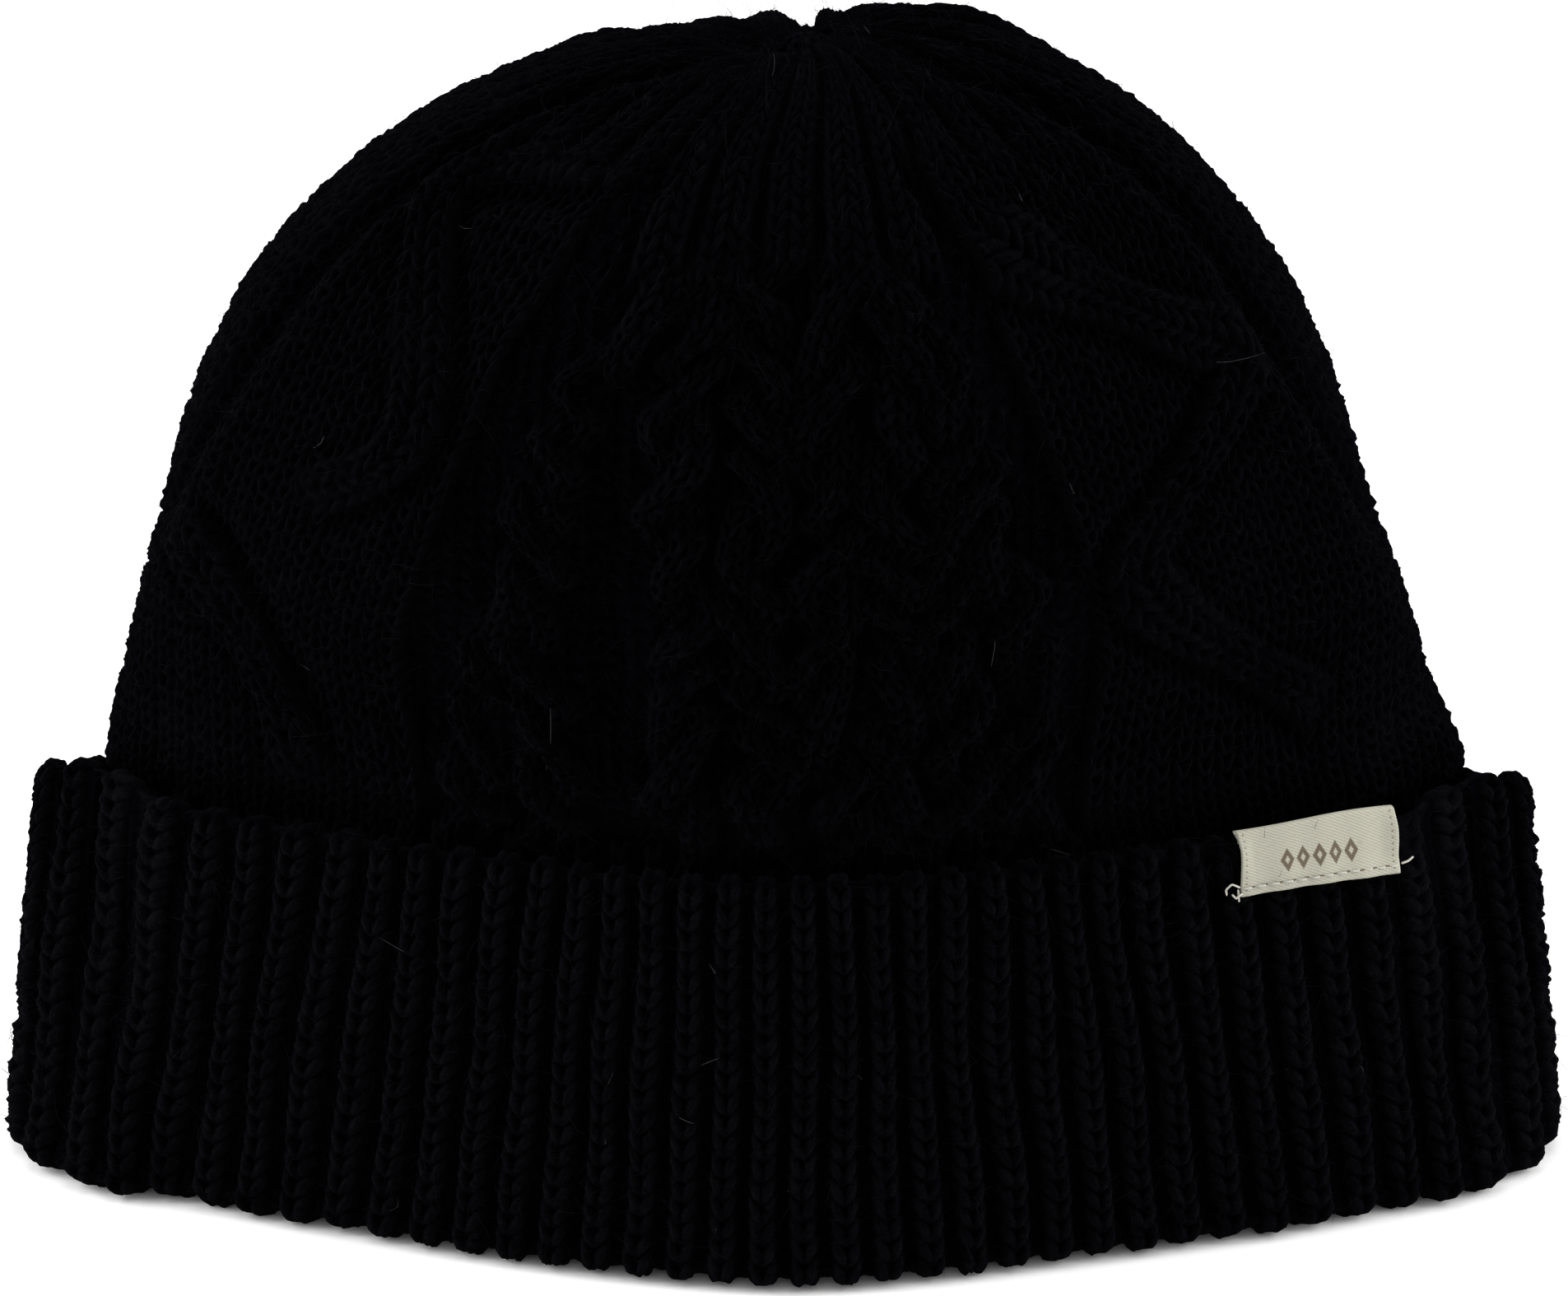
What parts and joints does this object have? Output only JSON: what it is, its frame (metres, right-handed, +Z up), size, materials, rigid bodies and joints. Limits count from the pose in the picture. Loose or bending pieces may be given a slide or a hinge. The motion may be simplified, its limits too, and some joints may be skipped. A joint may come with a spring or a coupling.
{
  "type": "knit beanie",
  "caption": "Dark wool beanie with a cable-knit crown gathered at the top, a ribbed turn-up cuff and a small woven label folded over the cuff's edge.",
  "frame": {"origin": "middle of the brim fold, on the surface the hat stands on", "axes": "+X across the hat to the side of the label, -Y the front, +Z up"},
  "size_m": [0.2214, 0.0914, 0.1637],
  "materials": {
    "rib_knit": "matt soft wool, 1x1 rib",
    "cable_knit": "matt soft wool, cables on a smooth ground",
    "seam_yarn": "matt wool yarn",
    "label_cloth": "fine satin-woven cotton tape",
    "label_thread": "polyester sewing thread",
    "satin_cloth": "smooth satin tape"
  },
  "bodies": {
    "cuff": {"turn_up_cuff": "rib_knit", "cuff_seam_yarn": "seam_yarn", "woven_label": "label_cloth", "label_stitching": "label_thread"},
    "crown": {"inner_rib_band": "rib_knit", "crown_fabric": "cable_knit", "back_seam_yarn": "seam_yarn", "crown_gather_yarn": "seam_yarn", "gather_knot": "seam_yarn", "care_label": "satin_cloth", "care_label_stitching": "label_thread"}
  },
  "joints": [
    {"name": "cuff_unroll", "type": "slide", "parent": "cuff", "child": "crown", "axis": [0, 0, 1], "range_m": [0, 0.05]}
  ]
}
